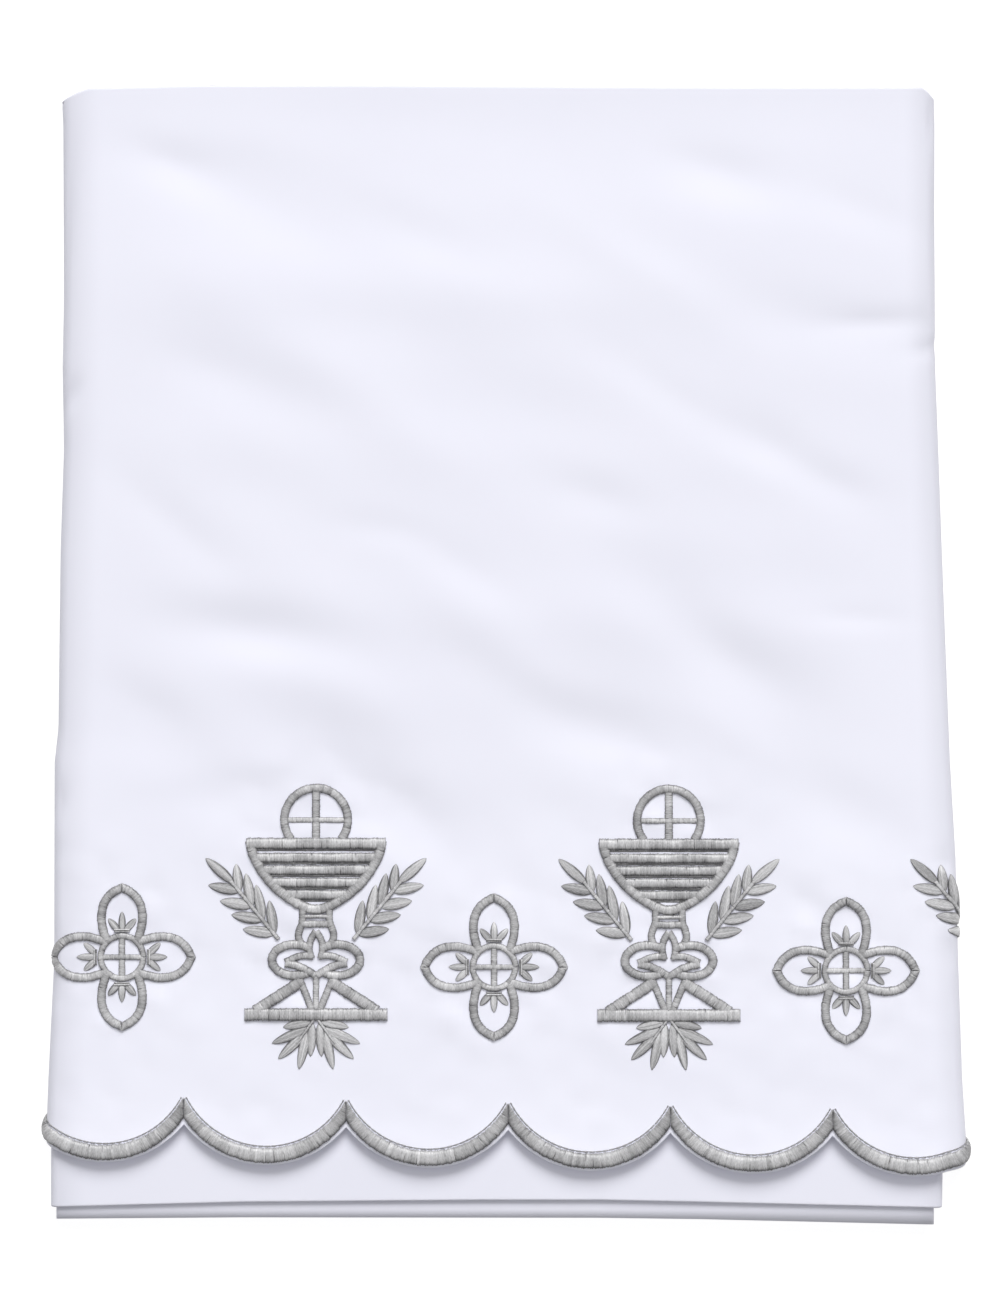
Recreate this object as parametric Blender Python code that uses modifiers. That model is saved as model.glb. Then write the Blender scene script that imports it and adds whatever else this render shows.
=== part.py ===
import math

import bmesh
import bpy
import numpy as np
from mathutils import Vector
from mathutils.geometry import delaunay_2d_cdt

# An embroidered altar cloth, folded into a packet that lies flat with its scalloped front
# towards -Y. The cloth goes back and forth four times along Y, and both ends of that strip
# are tucked under, so eight layers lie on each other. Metres, +Z up, lowest face at z = 0.

mm = 0.001

# Cloth and folds
sheet_thickness = 1.0 * mm
layer_pitch = 1.5 * mm
inner_radius = 0.9 * mm
pass_count = 4
outer_radius = inner_radius + (pass_count - 1) * layer_pitch
axis_height = outer_radius + sheet_thickness / 2
tucked_ends_gap = 4.0 * mm

# Side folds of the outer pass: place along Y, and how far the left and the right fold
# stand out from the middle
side_folds = [
    # y, left, right
    (-218.0 * mm, 207.7 * mm, 207.6 * mm),
    (-191.0 * mm, 206.6 * mm, 205.9 * mm),
    (-137.0 * mm, 203.7 * mm, 204.1 * mm),
    (-92.0 * mm, 203.5 * mm, 203.0 * mm),
    (-48.0 * mm, 203.2 * mm, 200.5 * mm),
    (-33.0 * mm, 201.4 * mm, 199.9 * mm),
    (48.0 * mm, 200.4 * mm, 196.6 * mm),
    (93.0 * mm, 198.9 * mm, 194.9 * mm),
    (130.0 * mm, 199.5 * mm, 193.4 * mm),
    (157.0 * mm, 198.9 * mm, 193.3 * mm),
    (240.0 * mm, 199.0 * mm, 193.1 * mm),
    (252.0 * mm, 199.8 * mm, 192.8 * mm),
]
# How far each pass lies inside the outer one, at the back and at the front
pass_insets = [
    # pass, left back, left front, right back, right front
    (1, 0.0, 0.0, 0.0, 0.0),
    (2, 1.0 * mm, 1.0 * mm, 1.6 * mm, 9.6 * mm),
    (3, 1.0 * mm, 1.0 * mm, 1.8 * mm, 10.1 * mm),
    (4, 1.0 * mm, 1.0 * mm, 2.0 * mm, 10.9 * mm),
]
back_end = 255.0 * mm
front_end = -250.0 * mm

# Creases across the packet, each a line of (place along the width, y)
back_crease = [(-185.0 * mm, 254.2 * mm), (-138.0 * mm, 255.5 * mm), (-70.0 * mm, 255.5 * mm),
               (-12.0 * mm, 254.8 * mm), (87.0 * mm, 254.2 * mm), (188.0 * mm, 253.7 * mm)]
inner_back_crease = [(-185.0 * mm, 252.4 * mm), (188.0 * mm, 251.6 * mm)]
front_crease = [(-204.0 * mm, -247.8 * mm), (-120.0 * mm, -245.6 * mm), (-12.0 * mm, -244.7 * mm),
                (42.0 * mm, -244.7 * mm), (87.0 * mm, -245.6 * mm), (195.0 * mm, -248.2 * mm)]
cloth_end = [(-201.0 * mm, -254.0 * mm), (-120.0 * mm, -253.4 * mm), (42.0 * mm, -253.6 * mm),
             (87.0 * mm, -254.2 * mm), (190.0 * mm, -256.6 * mm)]
corner_drop = {-1: 5.6 * mm, 1: 3.6 * mm}
corner_reach = {-1: 13.0 * mm, 1: 8.0 * mm}
under_inset = 0.8 * mm

# Front rise, which leaves room under the packet for the edging of the tucked ends
rise_start = -40.0 * mm
rise_full = -190.0 * mm
rise_height = 1.7 * mm
hem_curl = 1.6 * mm
hem_curl_end = -235.0 * mm

# Soft crown of the top layer and the troughs pressed into it
crown_height = 1.5 * mm
crown_front = -40.0 * mm
crown_fade = 70.0 * mm
troughs = [
    # x, y, turn, half length, half width, depth
    (-110.0 * mm, 23.0 * mm, -22.0, 42.0 * mm, 24.0 * mm, 0.8 * mm),
    (-72.0 * mm, -28.0 * mm, -35.0, 36.0 * mm, 22.0 * mm, 0.5 * mm),
    (94.0 * mm, 15.0 * mm, -34.0, 52.0 * mm, 24.0 * mm, 0.8 * mm),
    (44.0 * mm, -18.0 * mm, -24.0, 36.0 * mm, 24.0 * mm, 0.5 * mm),
    (150.0 * mm, 153.0 * mm, 4.0, 44.0 * mm, 22.0 * mm, 0.9 * mm),
    (116.0 * mm, 100.0 * mm, -26.0, 26.0 * mm, 20.0 * mm, 0.6 * mm),
    (96.0 * mm, 224.0 * mm, -22.0, 30.0 * mm, 20.0 * mm, 0.5 * mm),
]

# Scalloped hem: a line of (place along the width, y) through the lowest points of the
# satin band, with an arc of its own height between two cusps for each edge
hem_line = [(-420.0 * mm, -229.2 * mm), (-203.0 * mm, -226.5 * mm), (0.0, -230.0 * mm),
            (198.0 * mm, -233.5 * mm), (216.0 * mm, -236.5 * mm), (420.0 * mm, -239.0 * mm)]
scallop_pitch = 73.0 * mm
scallop_shift = 0.8 * mm
scallop_parts = 6
cut_edge = (-0.6 * mm, 17.8 * mm)
band_outer = (0.0, 19.5 * mm)
band_inner = (6.75 * mm, 22.6 * mm)

# Satin stitch
stitch_gap = 0.35 * mm
edging_rim = 0.5 * mm
edging_crown = 0.9 * mm
motif_height = 0.6 * mm

wrap_parts = 6
crease_parts = 4
hem_rows = (0.0, 0.35, 0.7, 1.0)
top_rows = [y * mm for y in (-140, -90, -40, -10, 30, 70, 110, 150, 190, 225)]
lower_rows = [y * mm for y in (-190, -40, 110)]

# Embroidered motifs: where they are centred, all in mm
mm_emblems = [("chalice_left", -85.7, -84.4), ("chalice_right", 73.1, -84.8)]
mm_crosses = [("quatrefoil_left", -173.0, -135.7), ("quatrefoil_middle", -5.6, -140.2),
              ("quatrefoil_right", 152.8, -141.8)]
mm_last_emblem = (231.5, -84.8)

cloth_colour = (0.86, 0.865, 0.90, 1.0)
thread_colour = (0.60, 0.61, 0.59, 1.0)


def clear_scene():
    for item in list(bpy.data.objects):
        bpy.data.objects.remove(item, do_unlink=True)


def make_material(name, colour, roughness):
    material = bpy.data.materials.new(name)
    material.use_nodes = True
    shader = material.node_tree.nodes["Principled BSDF"]
    shader.inputs["Base Color"].default_value = colour
    shader.inputs["Roughness"].default_value = roughness
    shader.inputs["Metallic"].default_value = 0.0
    return material


def line_at(line, position):
    places, values = zip(*line)
    return np.interp(position, places, values)


def smooth(value):
    value = np.clip(value, 0.0, 1.0)
    return value * value * (3.0 - 2.0 * value)


def fold_axis(side, layer, y):
    # Distance from the middle to the axis that a side fold turns round
    ys, left, right = (np.array(column) for column in zip(*side_folds))
    outline = np.where(side < 0, np.interp(y, ys, left), np.interp(y, ys, right))
    passes, left_back, left_front, right_back, right_front = zip(*pass_insets)
    back = np.where(side < 0, np.interp(layer, passes, left_back),
                    np.interp(layer, passes, right_back))
    front = np.where(side < 0, np.interp(layer, passes, left_front),
                     np.interp(layer, passes, right_front))
    share = np.clip((back_end - y) / (back_end - front_end), 0.0, 1.0)
    inset = back + (front - back) * share
    return outline - outer_radius - sheet_thickness / 2 - inset


def layer_radius(layer):
    return inner_radius + (pass_count - layer) * layer_pitch


def width_position(column, layer, y):
    # A column from -3 to 3 runs along the width: 0 to 1 over the top, 1 to 2 round the
    # side fold, 2 to 3 back underneath
    side = np.where(column < 0, -1, 1)
    step = np.abs(column)
    axis = fold_axis(side, layer, y)
    turn = math.pi * layer_radius(layer)
    tucked = axis - tucked_ends_gap / 2
    return side * (axis * np.clip(step, 0, 1) + turn * np.clip(step - 1, 0, 1)
                   + tucked * np.clip(step - 2, 0, 1))


def top_relief(x, y):
    inside = smooth((190.0 * mm - np.abs(x)) / crown_fade)
    ahead = smooth((y - crown_front) / crown_fade) * smooth((250.0 * mm - y) / crown_fade)
    height = crown_height * inside * ahead
    for tx, ty, turn, half_length, half_width, depth in troughs:
        c, s = math.cos(math.radians(turn)), math.sin(math.radians(turn))
        along = ((x - tx) * c + (y - ty) * s) / half_length
        across = ((y - ty) * c - (x - tx) * s) / half_width
        height = height - depth * ahead * inside * np.exp(-along ** 2 - across ** 2)
    curl = np.clip((rise_full - y) / (rise_full - hem_curl_end), 0.0, 1.2) ** 2
    return np.maximum(height, 0.0) + hem_curl * curl


def place(position, layer, y, height):
    # The point that lies `position` along the width from the middle, on a pass, raised by
    # `height` from the middle of the sheet's thickness
    side = np.where(position < 0, -1, 1)
    axis = fold_axis(side, layer, y)
    radius = layer_radius(layer)
    past = np.abs(position) - axis
    angle = np.clip(past / radius, 0.0, math.pi)
    tucked = np.maximum(past - math.pi * radius, 0.0)
    x = side * (np.minimum(np.abs(position), axis) + (radius + height) * np.sin(angle) - tucked)
    rise = rise_height * np.clip((rise_start - y) / (rise_start - rise_full), 0.0, 1.0)
    on_top = np.clip(2.0 - layer, 0.0, 1.0) * np.maximum(np.cos(angle), 0.0)
    z = (axis_height + (radius + height) * np.cos(angle) + rise
         + on_top * top_relief(x, y))
    return np.stack(np.broadcast_arrays(x, y, z), axis=-1)


def scallop(position, edge):
    # An arc between two cusps, `edge` being (height over the hem line, height of the arc)
    offset, sag = edge
    half = scallop_pitch / 2
    radius = (half * half + sag * sag) / (2 * sag)
    step = (position - scallop_shift) / scallop_pitch
    from_middle = (step - np.floor(step) - 0.5) * scallop_pitch
    return line_at(hem_line, position) + offset + radius - np.sqrt(radius ** 2 - from_middle ** 2)


def hem_columns():
    # Columns of the grid, with one on each cusp and five between two cusps
    y = np.mean([value for _, value in hem_line])
    spacing = scallop_pitch / scallop_parts
    marks = scallop_shift + spacing * np.arange(-6 * scallop_parts, 6 * scallop_parts + 1)
    columns = [-1.0 * step for step in (1, 2, 3)] + [1.0, 2.0, 3.0]
    for side in (-1, 1):
        axis = float(fold_axis(side, 1, y))
        turn = math.pi * outer_radius
        tucked = axis - tucked_ends_gap / 2
        own = np.abs(marks[np.sign(marks) == side])
        over = own[own < axis - spacing / 3] / axis
        under = 2 + (own - axis - turn) / tucked
        under = under[(under > 2 + spacing / 3 / tucked) & (under < 3 - spacing / 3 / tucked)]
        wrap = 1 + np.arange(1, wrap_parts) / wrap_parts
        columns += [side * value for value in (*over, *wrap, *under)]
    return np.array(sorted(columns)), y


def crease_y(line, columns, layer, corner):
    # A crease's y at each column, drawn in towards the corners of the packet
    y = line[0][1]
    x = place(width_position(columns, layer, y), layer, y, 0.0)[..., 0]
    side = np.where(columns < 0, -1, 1)
    drop = np.where(side < 0, corner_drop[-1], corner_drop[1])
    reach = np.where(side < 0, corner_reach[-1], corner_reach[1])
    from_fold = fold_axis(side, layer, y) + layer_radius(layer) - np.abs(x)
    under = np.clip(np.abs(columns) - 1.5, 0.0, 0.5) * 2
    return (line_at(line, x) - corner * drop * np.clip(1 - from_fold / reach, 0.0, 1.0) ** 1.5
            - np.sign(y) * under_inset * under)


def mapped_grid(name, rows, columns):
    # A flat grid of the size of the point table, moved onto its points
    mesh = bpy.data.meshes.new(name)
    grid = bmesh.new()
    bmesh.ops.create_grid(grid, x_segments=len(columns) - 1, y_segments=len(rows) - 1, size=1.0)
    for vertex in grid.verts:
        i = round((vertex.co.x + 1) / 2 * (len(columns) - 1))
        j = round((vertex.co.y + 1) / 2 * (len(rows) - 1))
        vertex.co = rows[j][i]
    grid.to_mesh(mesh)
    grid.free()
    mesh.shade_smooth()
    return bpy.data.objects.new(name, mesh)


def thicken(item, thickness, offset):
    solid = item.modifiers.new("thickness", "SOLIDIFY")
    solid.thickness = thickness
    solid.offset = offset
    solid.use_even_offset = True


def cloth_rows(columns, hem_y):
    rows = []

    def add(layer, y):
        y = np.broadcast_to(y, columns.shape)
        rows.append(place(width_position(columns, layer, y), layer, y, 0.0))

    def add_crease(first, line, outwards, corner):
        base = crease_y(line, columns, first, corner)
        for step in range(crease_parts + 1):
            angle = math.pi * step / crease_parts
            add(first + (1 - math.cos(angle)) / 2,
                base + outwards * layer_pitch / 2 * math.sin(angle))

    hem = scallop(width_position(columns, 1, hem_y), cut_edge)
    for share in hem_rows:
        add(1, hem + (rise_full - hem) * share)
    for y in top_rows:
        add(1, y)
    add_crease(1, back_crease, 1, 1.0)
    for y in reversed(lower_rows):
        add(2, y)
    add_crease(2, front_crease, -1, 0.0)
    for y in lower_rows:
        add(3, y)
    add_crease(3, inner_back_crease, 1, 0.6)
    for y in reversed(lower_rows):
        add(4, y)
    add(4, crease_y(cloth_end, columns, 4, 0.0))
    return rows


def make_cloth(material, columns, hem_y):
    cloth = mapped_grid("cloth", cloth_rows(columns, hem_y), columns)
    cloth.data.materials.append(material)
    thicken(cloth, sheet_thickness, 0.0)
    return cloth


def make_edging(material, columns, hem_y):
    # A domed satin band that follows the hem, round both side folds
    position = width_position(columns, 1, hem_y)
    outer = scallop(position, band_outer)
    inner = scallop(position, band_inner)
    base = sheet_thickness / 2 + stitch_gap
    rows = []
    for share, height in ((0.0, edging_rim), (0.5, edging_crown), (1.0, edging_rim)):
        y = outer + (inner - outer) * share
        rows.append(place(width_position(columns, 1, y), 1, y, base + height))
    edging = mapped_grid("scalloped_edging", rows, columns)
    edging.data.materials.append(material)
    thicken(edging, edging_rim, -1.0)
    return edging


def stroke(points, width):
    # The outline of a band of even width along a line, with mitred corners
    line = np.array(points, dtype=float)
    closed = np.allclose(line[0], line[-1])
    direction = np.diff(line, axis=0)
    direction /= np.linalg.norm(direction, axis=1)[:, None]
    normal = np.stack([-direction[:, 1], direction[:, 0]], axis=1)
    before = np.vstack([normal[-1:] if closed else normal[:1], normal])
    after = np.vstack([normal, normal[:1] if closed else normal[-1:]])
    mitre = before + after
    mitre /= np.maximum((mitre * before).sum(axis=1), 0.5)[:, None]
    left, right = line + mitre * width / 2, line - mitre * width / 2
    return [[right[i], right[i + 1], left[i + 1], left[i]] for i in range(len(line) - 1)]


def arc(cx, cy, rx, ry, start, end, parts):
    angles = np.radians(np.linspace(start, end, parts + 1))
    return np.stack([cx + rx * np.cos(angles), cy + ry * np.sin(angles)], axis=1)


def leaf(x, y, angle, length, width):
    # A pointed leaf that starts at (x, y)
    profile = [(0.0, -0.12), (0.45, -0.5), (1.0, 0.0), (0.45, 0.5), (0.0, 0.12)]
    c, s = math.cos(math.radians(angle)), math.sin(math.radians(angle))
    return [[(x + a * length * c - b * width * s, y + a * length * s + b * width * c)
             for a, b in profile]]


def mirrored(shapes):
    return shapes + [[(-x, y) for x, y in reversed(shape)] for shape in shapes]


def wheat_ear(stem_foot, stem_top, side):
    # Leaves in pairs along a stem, one of each pair level and one upright
    foot, top = np.array(stem_foot), np.array(stem_top)
    shapes = stroke([foot, top], 1.8)
    for share, level, upright in ((0.22, 11.6, 11.8), (0.43, 11.2, 12.2),
                                  (0.65, 10.7, 12.4), (0.87, 10.3, 12.2)):
        x, y = foot + (top - foot) * share
        shapes += leaf(x, y, 180, level, 3.2)
        shapes += leaf(x, y, 91, upright, 3.2)
    shapes += leaf(*top, 128, 12.4, 3.3)
    if side > 0:
        shapes = [[(-x, y) for x, y in reversed(shape)] for shape in shapes]
    return shapes


def chalice():
    # A host over a striped bowl, a looped knop and a foot with a spray under it
    shapes = stroke(arc(0, 10.2, 14.4, 14.4, -36, 216, 12), 3.6)
    shapes += stroke([(0, 1), (0, 24)], 3.4) + stroke([(-14, 10.2), (14, 10.2)], 2.6)
    shapes += stroke([(-31, 0), (31, 0)], 5.2)
    shapes += stroke(arc(0, -1, 28.8, 28.6, 180, 360, 12), 4.0)
    for y in (-7.0, -12.7, -18.4, -24.1):
        half = 28.0 * math.sqrt(1 - ((y + 1) / 28.6) ** 2)
        shapes += stroke([(-half, y), (half, y)], 4.0)
    shapes += stroke([(-7, -35), (7, -35)], 2.7)
    side = stroke([(-6, -28), (-6, -38), (-7.6, -45)], 2.8)
    side += stroke(arc(-9.6, -52.6, 10.2, 7.2, 70, 290, 8), 3.6)
    side += stroke([(0, -41), (-2.6, -47), (-2.4, -52)], 2.4)
    side += stroke([(-1.2, -51), (-8, -50.8), (-13.8, -54)], 2.2)
    side += stroke([(-13.8, -54), (-7, -55), (0, -59.5)], 2.4)
    side += stroke([(-7.2, -60.5), (0, -77)], 3.0)
    side += stroke([(-7, -61.5), (-27, -75)], 4.8)
    for x, y, angle, length in ((-1.5, -80, 200, 13), (-3.5, -83, 215, 18), (-6.5, -87.5, 222, 15),
                                (-4.0, -86.5, 255, 16), (-1.6, -81, 266, 15)):
        side += leaf(x, y, angle, length, 3.4)
    shapes += mirrored(side)
    shapes += stroke([(0, -57), (0, -80)], 2.6) + stroke([(-32.4, -77.2), (32.4, -77.2)], 5.6)
    shapes += mirrored(stroke([(0, -78), (-6.8, -89)], 2.4))
    return shapes


def quatrefoil():
    # Four pointed petals round a ring with a cross in it and a sprig at each side
    shapes = stroke(arc(0, 0, 9.9, 9.9, 0, 360, 20), 2.6)
    shapes += stroke([(-10, 0), (10, 0)], 2.9) + stroke([(0, -10), (0, 10)], 3.1)
    petal = mirrored(stroke([(-7.6, 7.0), (-9.6, 12.0), (-10.4, 17.5), (-9.3, 22.5), (-6.0, 27.3),
                             (0, 32.2)], 3.4))
    petal += leaf(0, 10.2, 90, 8.6, 2.6) + mirrored(leaf(-0.8, 10.6, 135, 6.6, 2.5))
    for turn in range(4):
        c, s = round(math.cos(turn * math.pi / 2)), round(math.sin(turn * math.pi / 2))
        shapes += [[(x * c - y * s, x * s + y * c) for x, y in shape] for shape in petal]
    return shapes


def make_motif(name, shapes, x, y, material):
    # One flat sheet that covers every stroke, laid on the cloth and raised
    points, faces = [], []
    for shape in shapes:
        faces.append(list(range(len(points), len(points) + len(shape))))
        points += [Vector(((px + x) * mm, (py + y) * mm)) for px, py in shape]
    points, _, faces, _, _, sources = delaunay_2d_cdt(points, [], faces, 1, 0.00001)
    faces = [face for face, source in zip(faces, sources) if source]
    sheet = bmesh.new()
    vertices = [sheet.verts.new((*point, 0.0)) for point in points]
    for face in faces:
        sheet.faces.new([vertices[i] for i in face])
    side = -1 if x < 0 else 1
    axis = float(fold_axis(side, 1, y * mm))
    for step in range(wrap_parts * 2 + 1):
        # Cuts along the side fold let the stitches bend round it with the cloth
        angle = math.pi * step / wrap_parts / 2
        bmesh.ops.bisect_plane(sheet, geom=sheet.verts[:] + sheet.edges[:] + sheet.faces[:],
                               plane_co=(side * (axis + outer_radius * angle), 0.0, 0.0),
                               plane_no=(1.0, 0.0, 0.0), dist=0.00002)
    base = sheet_thickness / 2 + stitch_gap
    for vertex in sheet.verts:
        vertex.co = place(vertex.co.x, 1.0, vertex.co.y, base)
    loose = [vertex for vertex in sheet.verts if not vertex.link_faces]
    bmesh.ops.delete(sheet, geom=loose, context="VERTS")
    mesh = bpy.data.meshes.new(name)
    sheet.to_mesh(mesh)
    sheet.free()
    motif = bpy.data.objects.new(name, mesh)
    motif.data.materials.append(material)
    thicken(motif, motif_height, 1.0)
    return motif


def make_motifs(material):
    ear_foot, ear_top = (-17.0, -43.0), (-42.4, -17.0)
    motifs = []
    for name, x, y in mm_emblems:
        motifs.append(make_motif(name, chalice(), x, y, material))
        for word, side in (("left", -1), ("right", 1)):
            ear = wheat_ear(ear_foot, ear_top, side)
            motifs.append(make_motif(f"wheat_{word}_of_{name}", ear, x, y, material))
    for name, x, y in mm_crosses:
        motifs.append(make_motif(name, quatrefoil(), x, y, material))
    x, y = mm_last_emblem
    ear = wheat_ear(ear_foot, ear_top, -1)
    motifs.append(make_motif("wheat_at_right_fold", ear, x, y, material))
    return motifs


def build():
    clear_scene()
    collection = bpy.data.collections.new("altar_cloth")
    bpy.context.scene.collection.children.link(collection)
    white = make_material("white_cotton", cloth_colour, 0.9)
    thread = make_material("silver_grey_thread", thread_colour, 0.45)
    columns, hem_y = hem_columns()
    parts = [make_cloth(white, columns, hem_y), make_edging(thread, columns, hem_y)]
    for item in parts + make_motifs(thread):
        collection.objects.link(item)


build()
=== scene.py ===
import bpy
import numpy as np
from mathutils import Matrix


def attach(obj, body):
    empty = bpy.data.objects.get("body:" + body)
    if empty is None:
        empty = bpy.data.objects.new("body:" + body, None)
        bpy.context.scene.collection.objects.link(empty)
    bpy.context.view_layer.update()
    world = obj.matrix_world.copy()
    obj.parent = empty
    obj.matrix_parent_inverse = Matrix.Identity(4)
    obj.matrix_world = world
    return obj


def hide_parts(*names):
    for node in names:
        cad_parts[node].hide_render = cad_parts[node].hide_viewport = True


# A folded altar cloth of white cotton with a satin-stitched hem and emblems, seen from
# straight above. Metres, +Y towards the back fold, the cloth rests on z = 0.

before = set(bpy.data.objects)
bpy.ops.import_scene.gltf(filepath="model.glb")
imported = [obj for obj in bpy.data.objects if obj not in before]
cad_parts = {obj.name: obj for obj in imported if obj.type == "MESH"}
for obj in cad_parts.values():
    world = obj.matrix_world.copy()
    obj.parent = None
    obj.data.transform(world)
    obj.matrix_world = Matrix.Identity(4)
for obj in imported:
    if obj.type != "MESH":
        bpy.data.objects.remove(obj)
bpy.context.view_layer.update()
print("frame loaded")

mm = 0.001
rng = np.random.default_rng(614)

view = {
    "place": (-0.0029, 0.00405, 2.512),
    "lens": 154.6,  # mm, on a 36 mm high film
    "filmHeight": 36.0,
}


def addObject(name, data):
    # A new object at the origin, in the scene
    item = bpy.data.objects.new(name, data)
    bpy.context.scene.collection.objects.link(item)
    return item


def addCamera(values):
    # It looks straight down, so it needs no turning
    camera = bpy.data.cameras.new("camera")
    camera.sensor_fit = "VERTICAL"
    camera.sensor_height = values["filmHeight"]
    camera.lens = values["lens"]
    item = addObject("camera", camera)
    item.location = values["place"]
    bpy.context.scene.camera = item


addCamera(view)
print("camera placed")

packet = {
    "pitch": 1.2 * mm,  # from one layer to the next
    "innerRadius": 0.9 * mm,  # of the side fold of the fourth layer
    "layers": 4,
    "floorGap": 0.5 * mm,  # half the thickness of the lowest layer
    "endsGap": 4 * mm,  # between the two ends tucked under
    "backEnd": 255 * mm,
    "frontEnd": -250 * mm,
    "riseFrom": -40 * mm,  # the front lies a little higher, on its own edging
    "riseFull": -190 * mm,
    "rise": 1.7 * mm,
    "curlEnd": -235 * mm,
    "curl": 2.5 * mm,  # how far the hem stands off the layer under it
    "curlLimit": 1.2,  # the curl grows with this share of its length at most
    "underInset": 0.8 * mm,  # the tucked parts of a crease lie this far inside it
}
outerRadius = packet["innerRadius"] + (packet["layers"] - 1) * packet["pitch"]
axisHeight = outerRadius + packet["floorGap"]

# Side folds of the top layer, in mm: y, and how far the left and right one stand out
sideFolds = np.array([
    (-218, 207.9, 207.6), (-191, 206.9, 205.9), (-137, 204.3, 204.1), (-92, 204.3, 203.0),
    (-48, 204.2, 200.5), (-33, 202.5, 199.9), (48, 201.5, 196.8), (93, 200.0, 195.2),
    (130, 200.6, 193.8), (157, 200.1, 193.7), (240, 200.3, 193.5), (252, 201.0, 193.2),
]).T * mm
# How far each layer lies inside the top one, in mm: layer, left back, left front,
# right back, right front
layerInsets = np.array([
    (1, 0, 0, 0, 0), (2, 1.0, 1.0, 1.6, 9.6), (3, 1.0, 1.0, 1.8, 10.1), (4, 1.0, 1.0, 2.0, 10.9),
]).T
# Creases across the packet, in mm: place along the width, y
backCrease = np.array([(-185, 255.0), (-138, 256.2), (-70, 256.2), (-12, 255.9), (87, 255.3),
                       (188, 255.3)]).T * mm
innerBackCrease = np.array([(-185, 252.4), (188, 251.6)]).T * mm
frontCrease = np.array([(-204, -247.8), (-120, -245.6), (-12, -244.7), (42, -244.7),
                        (87, -245.6), (195, -248.2)]).T * mm
clothEnd = np.array([(-201, -254.0), (-120, -253.4), (42, -253.6), (87, -254.2),
                     (190, -256.6)]).T * mm
corners = {
    "drop": (5.6 * mm, 4.6 * mm),  # left, right
    "reach": (13 * mm, 5.5 * mm),
    "power": 1.3,
}

# Scalloped hem: a line through the lowest points of the band, and for each edge its
# height over that line and the height of its arc between two cusps
hemLine = np.array([(-420, -229.2), (-203, -226.5), (0, -230), (198, -233.5), (216, -236.5),
                    (420, -239)]).T * mm
scallops = {
    "pitch": 73 * mm,
    "shift": 0.8 * mm,
    "cutEdge": (-0.95 * mm, 17.5 * mm),
    "bandOuter": (0.0, 19.5 * mm),
    "bandInner": (6.75 * mm, 22.6 * mm),
}

# Hollows pressed into the top layer, in mm: x, y, turn in degrees, half length, half
# width, depth. A minus depth is a ridge.
hollows = np.array([
    (-116, 11, -10, 34, 13, 2.6), (44, -32, -20, 34, 14, 2.2), (96, 2, -38, 46, 14, 2.0),
    (-50, -66, -40, 42, 13, 1.3), (148, -64, -32, 40, 13, 1.1), (158, 17, -3, 22, 4.5, 0.5),
    (119, 94, -26, 22, 10, 1.2), (147, 77, -24, 20, 8, 0.8), (42, 71, -20, 22, 9, 0.8),
    (-59, 57, -10, 20, 7, 0.6), (-113, 204, -28, 44, 16, 1.4), (97, 217, -20, 24, 10, 0.9),
    (136, 152, -12, 56, 15, 1.6), (-136, 130, -20, 26, 11, 0.8), (-160, -24, -30, 24, 10, 0.9),
    (168, 150, 2, 24, 4.5, 0.8), (-187, -193, 20, 12, 5, 0.5), (-20, 130, -30, 60, 16, 0.9),
    (-70, 120, -34, 50, 13, -0.7), (10, -5, -36, 50, 12, -1.0), (-60, -20, -30, 46, 13, -0.8),
    (-150, 222, -30, 26, 9, 0.9), (-40, 190, -24, 40, 10, 0.7), (60, 175, -30, 36, 9, -0.6),
    (70, 120, -34, 34, 8, 0.6), (-150, 60, -40, 30, 8, 0.6), (-20, 40, -32, 34, 8, 0.6),
    (110, -40, -30, 30, 8, -0.6), (160, 200, -20, 26, 8, 0.6), (-160, -40, -20, 30, 12, 0.7),
    (-120, -60, 10, 34, 8, 0.5), (0, -90, -60, 26, 8, 0.5), (130, -110, -40, 22, 7, 0.5),
])
# Dents at the side folds, in mm along the flat cloth: place, y, turn, half length, half
# width, depth
dents = np.array([
    (-195.5, 117, 70, 8.0, 2.6, 1.8),
    (-200.5, -66, 84, 9.0, 2.4, 1.6),
    (-201, -88, 80, 5.0, 3.0, 0.5),
    (190.0, 138, 20, 7.0, 3.0, 1.1),
    (-197.0, 203, 88, 34.0, 3.2, 1.4),
    (191.0, 240, 90, 10.0, 1.8, 1.5),
    (193.0, 196, 90, 26.0, 2.2, 0.8),
])
crown = {
    "height": 2.2 * mm,
    "puff": 2.4 * mm,  # how far the whole top stands over its side folds
    "puffReach": (8.5 * mm, 6.5 * mm),
    "puffBack": 0.1,  # share of it that is left at the back fold
    "hollowDepth": 1.1,  # all hollows are this much deeper than their own depth
    "lowest": -0.5 * mm,
    "waves": 1.05 * mm,
    "broadWaves": (9, 34 * mm, 90 * mm, 0.5),  # count, lengths, spread in radians
    "puckers": 2.6 * mm,
    "puckerWaves": (14, 8 * mm, 22 * mm, 3.1),
    "waveHeading": 62.0,  # degrees
    # How far from the middle the crown or the hollows end, and over what length they fade
    "sides": (192 * mm, 62 * mm),
    "front": (75 * mm, 95 * mm),
    "back": (250 * mm, 95 * mm),
    "hollowSides": (198 * mm, 14 * mm),
    "hollowFront": (215 * mm, 40 * mm),
    "hollowBack": (245 * mm, 25 * mm),
}
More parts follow.
